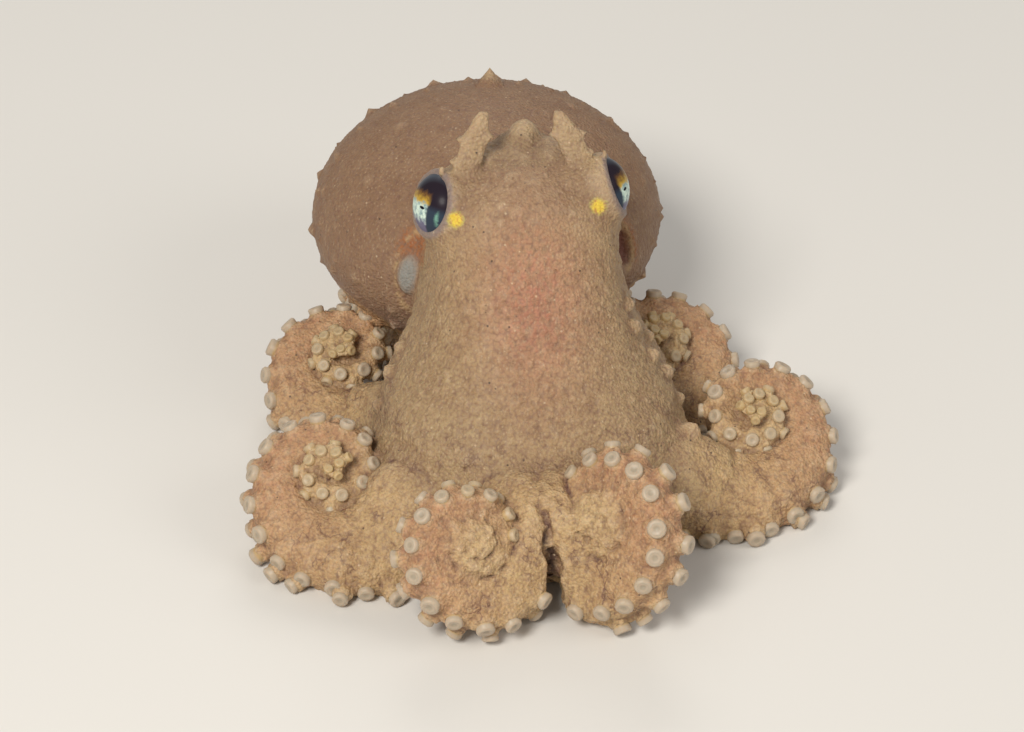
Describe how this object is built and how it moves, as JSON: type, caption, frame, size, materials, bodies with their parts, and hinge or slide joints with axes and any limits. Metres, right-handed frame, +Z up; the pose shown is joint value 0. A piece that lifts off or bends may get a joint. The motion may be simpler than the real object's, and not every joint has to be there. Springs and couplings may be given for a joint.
{
  "type": "octopus",
  "caption": "Small octopus at rest on the seabed: rounded mantle, raised head with ragged brow papillae, and arms curled into spirals with their suckers outward.",
  "frame": {"origin": "middle of the arm crown's flat underside, where the mouth is, on the floor", "axes": "-Y is where the animal faces, +Y runs back over the mantle, +X is the animal's left, +Z is up"},
  "size_m": [0.0575, 0.0693, 0.0366],
  "materials": {
    "skin": "moist, finely wrinkled",
    "mantle_skin": "moist, finely speckled",
    "funnel_skin": "smooth, wet",
    "eye": "wet gloss"
  },
  "bodies": {
    "root": {"mantle": "mantle_skin", "head": "skin", "crown": "skin", "funnel": "funnel_skin", "eye_left": "eye", "eye_right": "eye", "brow_papilla_left": "skin", "brow_papilla_right": "skin", "arm_right_1_base": "skin", "arm_right_1_middle": "skin", "arm_right_1_tip": "skin", "arm_left_1_base": "skin", "arm_left_1_middle": "skin", "arm_left_1_tip": "skin", "arm_right_2_base": "skin", "arm_right_2_middle": "skin", "arm_right_2_tip": "skin", "arm_left_2_base": "skin", "arm_left_2_middle": "skin", "arm_left_2_tip": "skin", "arm_right_3_base": "skin", "arm_right_3_middle": "skin", "arm_right_3_tip": "skin", "arm_left_3_base": "skin", "arm_left_3_middle": "skin", "arm_left_3_tip": "skin", "arm_right_4_base": "skin", "arm_right_4_middle": "skin", "arm_right_4_tip": "skin", "arm_left_4_base": "skin", "arm_left_4_middle": "skin", "arm_left_4_tip": "skin"}
  },
  "joints": []
}
